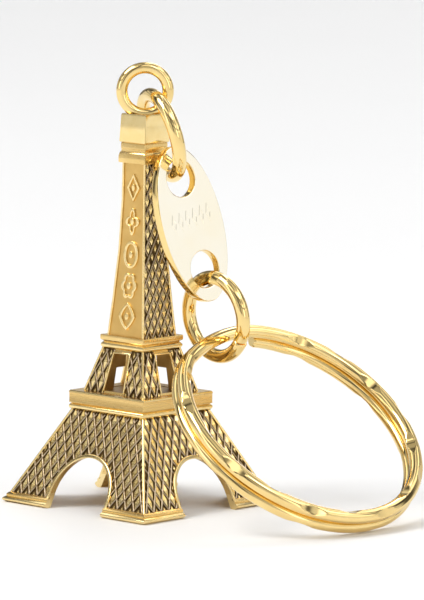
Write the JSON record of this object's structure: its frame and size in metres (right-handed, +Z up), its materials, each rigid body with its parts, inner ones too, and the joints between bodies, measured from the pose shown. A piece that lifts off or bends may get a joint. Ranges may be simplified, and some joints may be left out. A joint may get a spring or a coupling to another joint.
{
  "type": "keychain",
  "caption": "Souvenir keychain: a gold-plated lattice tower charm, two jump rings, an oval tag and a split ring, hinged link by link.",
  "frame": {"origin": "on the surface that the keychain stands on, under the middle of its bounding box", "axes": "+Z up along the tower, +X from the tower towards the split ring, tower faces square to X and Y"},
  "size_m": [0.0384, 0.027, 0.0444],
  "materials": {
    "cast_gold": "gold-plated die casting, satin, darkened in its recesses",
    "wire_gold": "polished gold-plated wire",
    "tag_gold": "polished pale gold sheet"
  },
  "bodies": {
    "tower": {"tower_casting": "cast_gold", "eye_ring": "wire_gold"},
    "upper_ring": {"upper_jump_ring": "wire_gold"},
    "tag": {"oval_tag": "tag_gold"},
    "lower_ring": {"lower_jump_ring": "wire_gold"},
    "keyring": {"split_ring": "wire_gold"}
  },
  "joints": [
    {"name": "upper_ring_swing", "type": "hinge", "parent": "tower", "child": "upper_ring", "pos_m": [-0.0094, -0.00372, 0.0415], "axis": [0.7071, -0.7071, 0], "range_deg": [0, 200]},
    {"name": "tag_swing", "type": "hinge", "parent": "upper_ring", "child": "tag", "pos_m": [-0.00553, -0.00275, 0.03423], "axis": [0.5397, -0.4667, 0.7007], "range_deg": [0, 20]},
    {"name": "lower_ring_swing", "type": "hinge", "parent": "tag", "child": "lower_ring", "pos_m": [-0.00389, 0.00009, 0.02133], "axis": [0.0902, 0.9911, 0.0976], "range_deg": [-40, 0]},
    {"name": "split_ring_swing", "type": "hinge", "parent": "lower_ring", "child": "keyring", "pos_m": [-0.00163, 0.00032, 0.01532], "axis": [-0.9498, 0.1151, -0.291], "range_deg": [-45, 45]}
  ]
}
